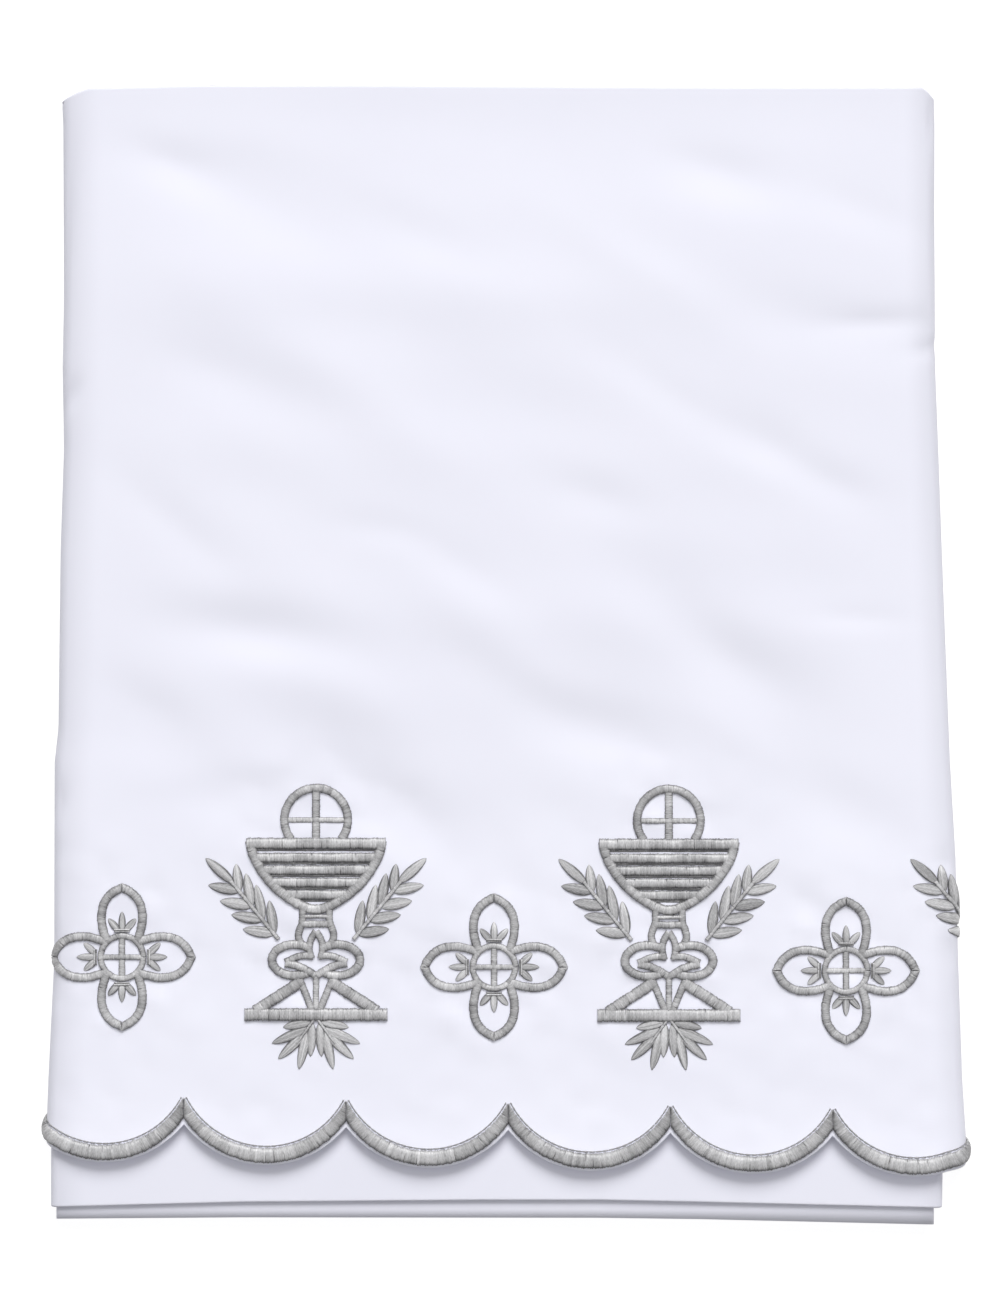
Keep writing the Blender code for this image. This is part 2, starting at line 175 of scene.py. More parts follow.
# Places where the stitching draws the cotton together, in mm: x, y, reach, strength
puckers = np.array([
    (-85.7, -84.4, 36, 1.0), (-85.7, -138, 40, 1.0), (73.1, -84.8, 36, 1.0),
    (73.1, -138, 40, 1.0), (-173, -135.7, 40, 1.0), (-5.6, -140.2, 40, 1.0),
    (152.8, -141.8, 40, 1.0), (205, -105, 26, 1.0), (-182, -205, 26, 0.45),
    (-109, -205, 26, 0.45), (-36, -205, 26, 0.45), (37, -205, 26, 0.45),
    (110, -205, 26, 0.45), (183, -205, 26, 0.45),
])


def fade(edge, position):
    # 3 v^2 - 2 v^3, with v from 0 at the edge to 1 at its length inside
    value = np.clip((edge[0] + position) / edge[1], 0, 1)
    return value * value * (3 - 2 * value)


def lineAt(line, position):
    # Height of a line of corners at a place along it, straight from corner to corner
    return np.interp(position, line[0], line[1])


def distances(points):
    # Distance of each point from the first, along the line through them
    return np.concatenate([[0], np.cumsum(np.linalg.norm(np.diff(points, axis=0), axis=1))])


def foldOutline(side, y):
    # How far the left fold, for a minus side, or the right one stands out at y
    return np.where(side < 0, np.interp(y, sideFolds[0], sideFolds[1]),
                    np.interp(y, sideFolds[0], sideFolds[2]))


def foldAxis(side, layer, y):
    # Distance from the middle to the axis of a side fold: the outline, less the outer
    # radius, half a thickness and the layer's own inset, which changes evenly from back
    # to front
    at = [np.interp(layer, layerInsets[0], row) * mm for row in layerInsets[1:]]
    back = np.where(side < 0, at[0], at[2])
    front = np.where(side < 0, at[1], at[3])
    share = np.clip((packet["backEnd"] - y) / (packet["backEnd"] - packet["frontEnd"]), 0, 1)
    inset = back + (front - back) * share
    return foldOutline(side, y) - outerRadius - packet["floorGap"] - inset


def layerRadius(layer):
    # Inner radius plus one pitch for each layer between
    return packet["innerRadius"] + (packet["layers"] - layer) * packet["pitch"]


def widthPosition(column, layer, y):
    # Length along the cotton for a column from -3 to 3: 0 to 1 over the top as far as the
    # fold axis, 1 to 2 half a circle round it, 2 to 3 back underneath
    side = np.where(column < 0, -1, 1)
    step = np.abs(column)
    axis = foldAxis(side, layer, y)
    return side * (axis * np.clip(step, 0, 1)
                   + np.pi * layerRadius(layer) * np.clip(step - 1, 0, 1)
                   + (axis - packet["endsGap"] / 2) * np.clip(step - 2, 0, 1))


def bumpSum(x, y, table):
    # Sum of depth * exp(-along^2 - across^2) over the rows, with along and across
    # measured from each row's centre in its turned directions
    total = np.zeros(np.broadcast(x, y).shape)
    for cx, cy, turn, halfLength, halfWidth, depth in table:
        c, s = np.cos(np.radians(turn)), np.sin(np.radians(turn))
        along = ((x - cx * mm) * c + (y - cy * mm) * s) / (halfLength * mm)
        across = ((y - cy * mm) * c - (x - cx * mm) * s) / (halfWidth * mm)
        total = total + depth * mm * np.exp(-along ** 2 - across ** 2)
    return total


def ripple(x, y, waves):
    # Sum of sines, each with its own direction, length and phase
    total = np.zeros(np.broadcast(x, y).shape)
    for length, direction, phase, size in waves:
        total = total + size * np.sin(
            2 * np.pi * (x * np.cos(direction) + y * np.sin(direction)) / length + phase)
    return total


def waveSet(count, shortest, longest, spread):
    # Waves of random length, direction, phase and size, that together stay below 1
    lengths = rng.uniform(shortest, longest, count)
    directions = rng.uniform(-spread, spread, count) + np.radians(crown["waveHeading"])
    phases = rng.uniform(0, 2 * np.pi, count)
    sizes = rng.uniform(0.5, 1.0, count) / count
    return list(zip(lengths, directions, phases, sizes))


broadWaves = waveSet(*crown["broadWaves"])
puckerWaves = waveSet(*crown["puckerWaves"])


def relief(x, y):
    # Height of the top layer: a soft crown, a puff by 1 - e^(-distance to the side fold),
    # less the hollows, then broad waves, puckers round the stitching, and the hem, whose
    # curl grows with the square of its length
    values = crown
    inside = fade(values["sides"], -np.abs(x))
    atBack = fade(values["back"], -y)
    nearby = fade(values["hollowFront"], y) * fade(values["hollowBack"], -y)
    toFold = (np.maximum(foldOutline(x, y) - np.abs(x), 0)
              / np.where(x < 0, *values["puffReach"]))
    soft = values["height"] * inside * (fade(values["front"], y) * atBack)
    kept = values["puffBack"] + (1 - values["puffBack"]) * atBack
    soft = soft + values["puff"] * (1 - np.exp(-toFold)) * kept
    soft = soft - (values["hollowDepth"] * bumpSum(x, y, hollows) * nearby
                   * fade(values["hollowSides"], -np.abs(x)))
    soft = soft + values["waves"] * ripple(x, y, broadWaves) * inside * nearby
    reach = np.zeros(np.broadcast(x, y).shape)
    for px, py, size, strength in puckers:
        reach = np.maximum(reach, strength * np.exp(
            -((x - px * mm) ** 2 + (y - py * mm) ** 2) / (size * mm) ** 2))
    soft = soft + values["puckers"] * ripple(x, y, puckerWaves) * reach
    curl = np.clip((packet["riseFull"] - y) / (packet["riseFull"] - packet["curlEnd"]),
                   0, packet["curlLimit"])
    return np.maximum(soft, values["lowest"]) + packet["curl"] * curl ** 2


def place(position, layer, y, height):
    # A point on a layer: its position along the width from the middle, and its height over
    # the middle of the cotton's thickness. Up to the fold axis it lies flat on top, then it
    # turns half a circle round the axis and runs back underneath. The floor stops it.
    side = np.where(position < 0, -1, 1)
    axis = foldAxis(side, layer, y)
    radius = layerRadius(layer)
    past = np.abs(position) - axis
    angle = np.clip(past / radius, 0, np.pi)
    tucked = np.maximum(past - np.pi * radius, 0)
    onTop = np.clip(2 - layer, 0, 1)
    out = radius + height - onTop * bumpSum(position, y, dents)
    x = side * (np.minimum(np.abs(position), axis) + out * np.sin(angle) - tucked)
    rise = packet["rise"] * np.clip((packet["riseFrom"] - y)
                                    / (packet["riseFrom"] - packet["riseFull"]), 0, 1)
    z = axisHeight + out * np.cos(angle) + rise
    z = np.maximum(z + onTop * np.maximum(np.cos(angle), 0) * relief(x, y), 0)
    return np.stack(np.broadcast_arrays(x, y, z), axis=-1)


def arcRadius(sag):
    # (half^2 + sag^2) / (2 sag), with half the distance between two cusps
    half = scallops["pitch"] / 2
    return (half ** 2 + sag ** 2) / (2 * sag)


def scallopAt(position, edge):
    # An arc between two cusps, r - sqrt(r^2 - distance from its middle^2) over the hem line
    offset, sag = edge
    radius = arcRadius(sag)
    step = (position - scallops["shift"]) / scallops["pitch"]
    fromMiddle = (step - np.floor(step) - 0.5) * scallops["pitch"]
    return lineAt(hemLine, position) + offset + radius - np.sqrt(radius ** 2 - fromMiddle ** 2)


def creaseAt(line, columns, layer, corner):
    # A crease's y at each column, drawn in towards the corners of the packet by
    # drop * (1 - distance from the fold / reach)^power
    y = line[1][0]
    x = place(widthPosition(columns, layer, y), layer, y, 0.0)[..., 0]
    side = np.where(columns < 0, -1, 1)
    drop = np.where(side < 0, *corners["drop"])
    reach = np.where(side < 0, *corners["reach"])
    fromFold = foldAxis(side, layer, y) + layerRadius(layer) - np.abs(x)
    under = np.clip(np.abs(columns) - 1.5, 0, 0.5) * 2  # from halfway round the fold
    near = np.clip(1 - fromFold / reach, 0, 1) ** corners["power"]
    return lineAt(line, x) - corner * drop * near - np.sign(y) * packet["underInset"] * under


def meshFromQuads(name, points, quads, uv=None, tone=None):
    # An object at the origin from whole arrays: points, four corners for each face, and a
    # uv and a tone for each point
    mesh = bpy.data.meshes.new(name)
    mesh.vertices.add(len(points))
    mesh.vertices.foreach_set("co", np.ascontiguousarray(points, dtype=np.float32).ravel())
    mesh.loops.add(quads.size)
    mesh.loops.foreach_set("vertex_index", quads.ravel().astype(np.int32))
    mesh.polygons.add(len(quads))
    mesh.polygons.foreach_set("loop_start", np.arange(0, quads.size, 4, dtype=np.int32))
    mesh.update(calc_edges=True)
    if uv is not None:
        layer = mesh.uv_layers.new(name="cloth")
        layer.data.foreach_set("uv", uv[quads.ravel()].astype(np.float32).ravel())
    if tone is not None:
        spot = mesh.attributes.new("tone", "FLOAT", "POINT")
        spot.data.foreach_set("value", tone.astype(np.float32))
    mesh.shade_smooth()
    mesh.validate()
    return addObject(name, mesh)


def gridQuads(rows, columns):
    # One face between each four neighbours of a grid that is numbered row by row
    number = np.arange(rows * columns).reshape(rows, columns)
    return np.stack([number[:-1, :-1], number[:-1, 1:], number[1:, 1:], number[1:, :-1]],
                    axis=-1).reshape(-1, 4)


cotton = {
    "thickness": 0.5 * mm,
    "topParts": 24,  # columns between two cusps, on top
    "underParts": 9,
    "wrapParts": 12,
    "creaseParts": 8,
    "creaseEdge": 0.45 * mm,  # the rows before and after a crease
    "hemRows": 14,
    "hemSpread": 1.2,  # above 1 the rows stand closer at the hem
    "topStep": 3.3 * mm,
    "topEnd": 244 * mm,
    "backRows": (247 * mm, 249.6 * mm),
    "hiddenRows": np.array([200, 90, -40, -140, -190, -215, -226, -234, -240]) * mm,
    "endRows": (-245 * mm, -249.5 * mm),
    "innerCorner": 0.6,  # share of the corner drop at the inner back crease
    "flat": (0.80, 2.0),  # metres, cut size
    # Painted shade, taken off the cotton's colour: on the crease rows, at the side folds and on
    # each lower layer
    "creaseShade": 0.22,
    "foldShade": (0.20, 0.21),  # left, right
    "foldReach": (13 * mm, 9 * mm),
    "foldPower": 1.3,
    "layerShade": np.array([(1, 0.0), (2, 0.05), (3, 0.08), (4, 0.12)]).T,
}
clothTop = cotton["thickness"] / 2


def tubeQuads(count, rings):
    # Faces of a closed tube: rings of points in order, and a flat cap at each end
    number = np.arange(count * rings).reshape(count, rings)
    following = np.roll(number, -1, axis=1)
    quads = np.stack([number[:-1], following[:-1], following[1:], number[1:]],
                     axis=-1).reshape(-1, 4)
    k = np.arange(rings // 2 - 1)
    cap = np.stack([k, k + 1, rings - 2 - k, rings - 1 - k], axis=-1)
    return np.vstack([quads, number[0][cap[:, ::-1]], number[-1][cap]])


def clothColumns(values):
    # Columns of the grid, with one on each cusp and none closer to a fold than a third of
    # a step
    y = hemLine[1].mean()
    parts = [[-3.0, -2.0, -1.0, 1.0, 2.0, 3.0]]
    for side in (-1, 1):
        axis = float(foldAxis(side, 1, y))
        turn = np.pi * outerRadius
        tucked = axis - packet["endsGap"] / 2

        def marks(count):
            # Even marks along this side of the cloth, and the step between them
            every = scallops["pitch"] / count
            spots = scallops["shift"] + every * np.arange(-6 * count, 6 * count + 1)
            return np.abs(spots[np.sign(spots) == side]), every

        own, every = marks(values["topParts"])
        parts.append(side * own[own < axis - every / 3] / axis)
        own, every = marks(values["underParts"])
        under = 2 + (own - axis - turn) / tucked
        parts.append(side * under[(under > 2 + every / 3 / tucked)
                                  & (under < 3 - every / 3 / tucked)])
        parts.append(side * (1 + np.arange(1, values["wrapParts"]) / values["wrapParts"]))
    return np.unique(np.round(np.concatenate(parts), 9)), y


def clothRows(values, columns, hemY):
    # Rows of (layer, y at each column), from the hem to the plain end. Round a crease y
    # moves by half a pitch * sin, the layer by (1 - cos) / 2.
    layers, rows = [], []

    def add(layer, y):
        # One row, whose y is one number or one for each column
        layers.append(layer)
        rows.append(np.broadcast_to(y, columns.shape))

    def addCrease(first, line, outwards, corner):
        # Half a circle from a layer to the next, with a flat row before and after it
        base = creaseAt(line, columns, first, corner)
        add(first, base - outwards * values["creaseEdge"])
        for angle in np.linspace(0, np.pi, values["creaseParts"] + 1):
            add(first + (1 - np.cos(angle)) / 2,
                base + outwards * packet["pitch"] / 2 * np.sin(angle))
        add(first + 1, base - outwards * values["creaseEdge"])

    hem = scallopAt(widthPosition(columns, 1, hemY), scallops["cutEdge"])
    for share in np.linspace(0, 1, values["hemRows"]) ** values["hemSpread"]:
        add(1, hem + (packet["riseFull"] - hem) * share)
    top = np.arange(packet["riseFull"], values["topEnd"], values["topStep"])[1:]
    for y in (*top, *values["backRows"]):
        add(1, y)
    addCrease(1, backCrease, 1, 1.0)
    for y in values["hiddenRows"]:
        add(2, y)
    addCrease(2, frontCrease, -1, 0.0)
    for y in values["hiddenRows"][::-2]:
        add(3, y)
    addCrease(3, innerBackCrease, 1, values["innerCorner"])
    for y in (*values["hiddenRows"], *values["endRows"]):
        add(4, y)
    add(4, creaseAt(clothEnd, columns, 4, 0.0))
    return np.array(layers)[:, None], np.array(rows)


def makeCloth(values):
    # The folded sheet as one grid, thickened evenly to both sides. Its tone is painted
    # shade: 1 - shade * turned^power, with turned from 0 on the flat top to 1 at the side fold,
    # less a step for each lower layer and 4 * crease * b * (1 - b) at the share b between
    # layers.
    columns, hemY = clothColumns(values)
    layers, ys = clothRows(values, columns, hemY)
    position = widthPosition(columns[None, :], layers, ys)
    points = place(position, layers, ys, 0.0)
    length = distances(points[:, len(columns) // 2])
    uv = np.stack([position, np.broadcast_to(length[:, None], position.shape)], axis=-1)
    side = np.where(position < 0, -1, 1)
    reach = np.where(side < 0, *values["foldReach"])
    turned = np.clip((np.abs(position) - foldAxis(side, layers, ys) + reach)
                     / (reach + outerRadius * np.pi / 2), 0, 1)
    between = layers - np.floor(layers)
    # The tone is painted shade only
    tone = (1 - np.where(side < 0, *values["foldShade"]) * turned ** values["foldPower"]
            - np.interp(layers, *values["layerShade"])
            - values["creaseShade"] * 4 * between * (1 - between))
    item = meshFromQuads("folded_cloth", points.reshape(-1, 3), gridQuads(*position.shape),
                         uv.reshape(-1, 2), tone.ravel())
    solid = item.modifiers.new("thickness", "SOLIDIFY")
    solid.thickness = values["thickness"]
    solid.offset = 0.0
    return item


thread = {
    "pitch": 0.45 * mm,  # from one thread to the next
    "parting": 0.74,  # height of the valley between two threads
    "widthJitter": 0.065,
    "heightJitter": 0.06,
    "stitchTone": 0.19,
    "clumpTone": 0.18,
    "clumpLengths": (2, 6),  # threads that lie together
    "clumpHeight": 0.08,
    "clumpWidth": 0.03,
    "groupTone": 0.16,
    "groupLengths": (8, 26),  # threads laid in one run
    "groupDip": 0.55,  # height of the dip between two runs
    "dipReach": (-0.2, 0.75),  # where across the band a dip ends
    # Painted shade in the dip between two runs
    "paintedDipShade": 0.9,
    "paintedEdgeShade": (0.85, 0.95),  # painted shade: how much darker a band gets at its left and right edge
    "paintedCrestHighlight": 0.14,  # painted highlight: how much lighter it is along its middle
    "rim": 0.30,  # height at the edge of a band, as a share of its crown
    "saddle": (0.62, 0.45),  # two humps: height between them, and where they start
    "bottom": (0.9, 4),  # underside of a band: half width, points
    "sunk": 0.15 * mm,  # how far a band reaches into the cotton
    "endHeight": 0.35,
    "endLength": 0.5 * mm,  # the ends of a band round off over this length
    "mitreGap": (0.12, 0.04),  # mm: a stitch reaches this far at least, and is cut here
    "mitreStep": 0.3,  # mm
    "leafPower": 0.85,
    "leafFoot": 0.12,  # width at its foot, and half width along it at least
    "leafTip": 0.07,
    "leafSwell": 0.25,
    "leafBottom": (0.85, 5),
    "leafTone": 0.34,  # from thread to thread
    "leafShade": 0.22,  # from leaf to leaf
    "leafFibre": 1.6 * mm,
    # Painted shade at both edges of a leaf
    "leafPaintedEdgeShade": (1.35, 1.35),
    "leafThreads": 7,
    "leafRings": 15,
}


def evenPath(points, spacing, curved):
    # Points at even steps along a line. If it is curved, its corners are cut four times, at
    # a quarter and three quarters of each side.
    line = np.array(points, dtype=float)
    for _ in range(4 if curved else 0):
        near = line[:-1] * 0.75 + line[1:] * 0.25
        far = line[:-1] * 0.25 + line[1:] * 0.75
        inner = np.stack([near, far], axis=1).reshape(-1, 2)
        line = np.vstack([line[:1], inner, line[-1:]])
    lengths = distances(line)
    count = max(int(round(lengths[-1] / spacing)), 4) + 1
    at = np.linspace(0, lengths[-1], count)
    return np.stack([np.interp(at, lengths, line[:, 0]), np.interp(at, lengths, line[:, 1])],
                    axis=1)


def paintedHighlightAndShade(across, values):
    # Painted highlight crest * (1 - across^2) along the middle, less painted shade edge *
    # across^4, with its own edge value at each side
    return (values["paintedCrestHighlight"] * (1 - across ** 2)
            - np.where(across > 0, *values["paintedEdgeShade"]) * across ** 4)


def runsOf(lengths, count):
    # The number of the run that each thread lies in, for runs of random length
    return np.searchsorted(np.cumsum(rng.integers(*lengths, count)), np.arange(count),
                           side="right")


def skinFrom(flat, high, u, v, tone):
    # A closed tube on top of the cotton, from rings of flat places and heights over it
    points = place(flat[..., 0], 1.0, flat[..., 1], clothTop + high)
    uv = np.stack(np.broadcast_arrays(u, v), axis=-1)
    tone = np.broadcast_to(tone, high.shape)
    return points.reshape(-1, 3), tubeQuads(*high.shape), uv.reshape(-1, 2), tone.ravel()


def bandSkin(left, right, crownHeight, lift=0.0, humps=1, values=thread, detail=8, shade=0.0,
             edgeShare=1.0):
    # A closed tube between two edges on the flat cloth, one ring for each half thread.
    # Across the top, from +1 at the left edge to -1 at the right, the height is
    # crown * (rim + (1 - rim) * sqrt(1 - across^2)); every second ring is lower, which
    # parts the threads. Threads lie in groups that share a tone, with a dip between them
    # that gets painted shade. The tone also takes shade, below zero for a painted shadow,
    # painted shade at the edges and a painted highlight along the middle; edgeShare is the
    # share of the painted edge shade that each ring gets.
    count = len(left)
    top = np.cos(np.linspace(0, np.pi, detail))
    reach, under = values["bottom"]
    across = np.concatenate([top, np.linspace(-reach, reach, under)])
    bow = np.sqrt(np.maximum(1 - top ** 2, 0))
    if humps == 2:
        low, start = values["saddle"]
        bow = bow * (low + (1 - low) * np.clip(np.abs(top) / start, 0, 1))
    stitch = np.arange(count) // 2
    stitches = stitch[-1] + 1
    stitchTone = rng.uniform(-1, 1, stitches) * values["stitchTone"]
    stitchWide = 1 + rng.uniform(-1, 1, (2, stitches)) * values["widthJitter"]
    stitchHigh = 1 + rng.uniform(-1, 1, stitches) * values["heightJitter"]
    clumps = runsOf(values["clumpLengths"], stitches)
    group = runsOf(values["groupLengths"], stitches)
    groupTone = (rng.uniform(-1, 1, stitches + 1)[group] * values["groupTone"]
                 + rng.uniform(-1, 1, stitches + 1)[clumps] * values["clumpTone"])
    jitter = values["clumpHeight"]
    stitchHigh = stitchHigh + rng.uniform(-jitter, jitter, stitches + 1)[clumps]
    jitter = values["clumpWidth"]
    stitchWide = stitchWide + rng.uniform(-jitter, jitter, (2, stitches + 1))[:, clumps]
    starts = np.concatenate([[False], np.diff(group) > 0])
    dipSide = rng.choice([-1.0, 1.0], stitches)
    dipReach = rng.uniform(*values["dipReach"], stitches)
    ridge = np.where(np.arange(count) % 2 == 0, 1.0, values["parting"])
    middle = (left + right) / 2
    along = distances(middle)
    toEnd = np.minimum(along, along[-1] - along)
    ends = values["endHeight"] + (1 - values["endHeight"]) * np.sqrt(
        np.clip(toEnd / values["endLength"], 0, 1))
    cut = starts[stitch] & (np.arange(count) % 2 == 0)
    dip = np.where(cut[:, None] & (top[None, :] * dipSide[stitch][:, None]
                                   > dipReach[stitch][:, None]), values["groupDip"], 1.0)
    high = (crownHeight * (values["rim"] + (1 - values["rim"]) * bow)[None, :] * dip
            * (ridge * ends * stitchHigh[stitch])[:, None])
    high = np.concatenate([high + lift, np.full((count, under), -values["sunk"])], axis=1)
    half = (left - right) / 2
    wide = np.where(across[None, :] > 0, stitchWide[0][stitch][:, None],
                    stitchWide[1][stitch][:, None])
    flat = middle[:, None, :] + half[:, None, :] * (across[None, :] * wide)[..., None]
    width = np.linalg.norm(half, axis=1)
    dipped = np.concatenate([dip, np.ones((count, under))], axis=1) < 1
    # Random tone, less painted shade in the dips, plus shade, painted edge shade and a painted
    # highlight along the middle
    tone = ((stitchTone + groupTone)[stitch][:, None] - values["paintedDipShade"] * dipped + shade
            + paintedHighlightAndShade(across, values)[None, :] * edgeShare)
    return skinFrom(flat, high, along[:, None], across[None, :] * width[:, None], tone)


def turnedTo(points, turn, centre):
    # Points in mm turned counterclockwise round (0, 0), then moved to a centre, in metres
    c, s = np.cos(np.radians(turn)), np.sin(np.radians(turn))
    return (points @ np.array([[c, s], [-s, c]]) + np.array(centre)) * mm


def strokeSkin(points, band, centre, turn=0.0, humps=1, curved=False, mitre=False,
               flip=False, shade=0.0):
    # A satin band whose edges lie half a width to both sides, square to a line in mm. If
    # it is mitred, it runs on past its end and is cut on x = 0 before it is turned.
    width, crownHeight, lift = band
    line = evenPath(flipped(points) if flip else points, thread["pitch"] / 2 / mm, curved)
    if mitre:
        last = line[-1] - line[-2]
        steps = np.arange(1, int(width / thread["mitreStep"]))[:, None]
        line = np.vstack([line, line[-1] + last * steps])
    direction = np.gradient(line, axis=0)
    direction /= np.linalg.norm(direction, axis=1)[:, None]
    normal = np.stack([-direction[:, 1], direction[:, 0]], axis=1) * width / 2
    left, right = line + normal, line - normal
    if mitre:
        least, gap = thread["mitreGap"]
        side = np.sign(line[0, 0])
        keep = np.maximum(left[:, 0] * side, right[:, 0] * side) > least
        left, right = left[keep], right[keep]
        for edge, other in ((left, right), (right, left)):
            beyond = edge[:, 0] * side < gap
            share = ((other[:, 0] - gap * side)
                     / np.where(beyond, other[:, 0] - edge[:, 0], 1.0))[:, None]
            edge[:] = np.where(beyond[:, None], other + (edge - other) * share, edge)
    return bandSkin(turnedTo(left, turn, centre), turnedTo(right, turn, centre),
                    crownHeight * mm, lift * mm, humps, shade=shade)


def leafSkin(x, y, angle, length, width, centre, crownHeight=1.4, lift=0.0, turn=0.0,
             flip=False, blunt=0.56, values=thread):
    # A pointed leaf in mm, whose threads run along it: half width = sin(pi * s^power)^blunt,
    # and the height follows sqrt(1 - across^2) with a ridge for each thread
    s = np.linspace(0, 1, values["leafRings"])  # share of the length
    half = width / 2 * np.maximum(np.sin(np.pi * s ** values["leafPower"]) ** blunt,
                                  values["leafTip"])
    half[0] = width * values["leafFoot"]
    top = np.linspace(1, -1, values["leafThreads"] * 2 + 1)
    reach, under = values["leafBottom"]
    across = np.concatenate([top, np.linspace(-reach, reach, under)])
    ridge = np.where(np.arange(len(top)) % 2 == 1, 1.0, values["parting"])
    tones = (np.repeat(rng.uniform(-1, 1, values["leafThreads"] + 1), 2)[:len(top)]
             * values["leafTone"])
    shade = rng.uniform(-values["leafShade"], values["leafShade"])
    bow = values["rim"] + (1 - values["rim"]) * np.sqrt(np.maximum(1 - top ** 2, 0))
    swell = np.clip(half / (width / 2), values["leafSwell"], 1)
    high = crownHeight * mm * swell[:, None] * (bow * ridge)[None, :]
    high = np.concatenate([high + lift * mm, np.full((len(s), under), -values["sunk"])], axis=1)
    heading = np.radians(angle)
    ahead = np.array([np.cos(heading), np.sin(heading)])
    aside = np.array([-np.sin(heading), np.cos(heading)])
    flat = (np.array([x, y]) + ahead * (s * length)[:, None, None]
            + aside * (half[:, None] * across[None, :])[..., None])
    if flip:
        flat = flipped(flat)
        flat, high = flat[::-1], high[::-1]
    # Random tone from thread to thread and leaf to leaf, plus painted shade at the edges and a
    # painted highlight along the middle
    tone = (np.concatenate([tones + shade, np.zeros(under)])
            + paintedHighlightAndShade(across, dict(values, paintedEdgeShade=values["leafPaintedEdgeShade"])))
    return skinFrom(turnedTo(flat, turn, centre), high, across * values["leafFibre"],
                    (s * length * mm)[:, None], tone)


def joined(name, skins):
    # All skins of one piece in one mesh
    starts = np.cumsum([0] + [len(skin[0]) for skin in skins])
    quads = np.vstack([skin[1] + start for skin, start in zip(skins, starts)])
    points, uv, tone = (np.concatenate([skin[i] for skin in skins]) for i in (0, 2, 3))
    return meshFromQuads(name, points, quads, uv, tone)


def arc(cx, cy, rx, ry, start, end):
    # 49 points: centre plus each radius times the cosine or sine
    angles = np.radians(np.linspace(start, end, 49))
    return np.stack([cx + rx * np.cos(angles), cy + ry * np.sin(angles)], axis=1)


def flipped(points):
    # Mirrored from left to right
    return np.array(points, dtype=float) * np.array([-1.0, 1.0])


def levelLine(half, y):
    # Both ends of a level line over the middle
    return [(-half, y), (half, y)]


edging = {
    "crown": 2.25 * mm,
    "detail": 10,  # points over the top of the band
    "first": -6,  # scallops, counted from the middle
    "last": 5,
    "widest": 1.35,  # radians from the middle of a scallop, past its cusp
    "cuspGap": 0.05 * mm,  # half the gap on the mitre
    "shortest": 0.35 * mm,  # stitch
    "endLength": 0.12 * mm,
    "endGap": 0.4 * mm,
    "paintedEdgeShade": (0.25, 1.35),  # painted shade at the inner and at the outer edge
    "cuspFade": 1.2 * mm,  # the painted shade of the outer edge stops over this length of the mitre
    "runGap": 0.7 * mm,  # the thin run of stitches inside the band
    "runWidth": 0.7 * mm,
    "runCrown": 0.5 * mm,
    "runSunk": 0.3,
    "runPitch": 3 * mm,
    "runPower": 0.4,
    "runTone": (-0.35, 1.2),  # tone on a bead, and the painted shade between two
}


def scallopStitches(number, values):
    # Ends of the stitches of one scallop. Each starts on the outer arc at an angle from
    # its middle and runs towards that arc's centre to the inner arc; past the cusp it
    # starts on the mitre instead. The third result fades the painted edge shade along the mitre.
    half = scallops["pitch"] / 2
    outerOffset, outerSag = scallops["bandOuter"]
    innerOffset, innerSag = scallops["bandInner"]
    outer, inner = arcRadius(outerSag), arcRadius(innerSag)
    apart = (outerOffset + outer) - (innerOffset + inner)
    angle = np.arange(0, values["widest"], thread["pitch"] / 2 / outer)
    reach = -outer + apart * np.cos(angle)
    gap = (outer * np.sin(angle)) ** 2 + (apart - outer * np.cos(angle)) ** 2 - inner ** 2
    length = -reach - np.sqrt(np.maximum(reach ** 2 - gap, 0))
    begin = np.maximum((outer * np.sin(angle) - (half - values["cuspGap"]))
                       / np.maximum(np.sin(angle), 0.01), 0)  # no division by zero
    keep = begin < length - values["shortest"]
    angle, length, begin = angle[keep], length[keep], begin[keep]
    angle = np.concatenate([-angle[:0:-1], angle])
    length = np.concatenate([length[:0:-1], length])
    begin = np.concatenate([begin[:0:-1], begin])
    middle = scallops["shift"] + (number + 0.5) * scallops["pitch"]
    ends = []
    for t in (length, begin):
        x = middle + (outer - t) * np.sin(angle)
        y = outerOffset + outer - (outer - t) * np.cos(angle)
        ends.append(np.stack([x, y + lineAt(hemLine, x)], axis=1))
    innerEnd, outerEnd = ends
    edgeShare = 1 - np.clip(begin / values["cuspFade"], 0, 1)
    y = hemLine[1].mean()
    limit = abs(float(widthPosition(np.array(3.0), 1, y))) - values["endGap"]
    keep = (np.abs(innerEnd[:, 0]) < limit) & (np.abs(outerEnd[:, 0]) < limit)
    return innerEnd[keep], outerEnd[keep], edgeShare[keep, None]


def runSkin(innerEnd, outerEnd, values):
    # A thin run of small stitches beside the inner ends: a beaded tube, whose width and
    # height follow |cos|^power of the distance along it, with painted shade between the beads
    outwards = innerEnd - outerEnd
    outwards = outwards / np.linalg.norm(outwards, axis=1)[:, None]
    middle = (innerEnd + outwards * values["runGap"])[::2]
    outwards = outwards[::2]
    along = distances(middle)
    bead = np.abs(np.cos(np.pi * along / values["runPitch"])) ** values["runPower"]
    angle = np.linspace(0, np.pi, 5)
    across = np.concatenate([np.cos(angle), [0.0]])
    up = np.concatenate([np.sin(angle), [-values["runSunk"]]])
    flat = middle[:, None, :] + outwards[:, None, :] * (
        across[None, :] * bead[:, None] * values["runWidth"] / 2)[..., None]
    high = up[None, :] * bead[:, None] * values["runCrown"]
    onBead, darker = values["runTone"]
    return skinFrom(flat, high, across * values["runWidth"], along[:, None],
                    (onBead - darker * (1 - bead))[:, None])


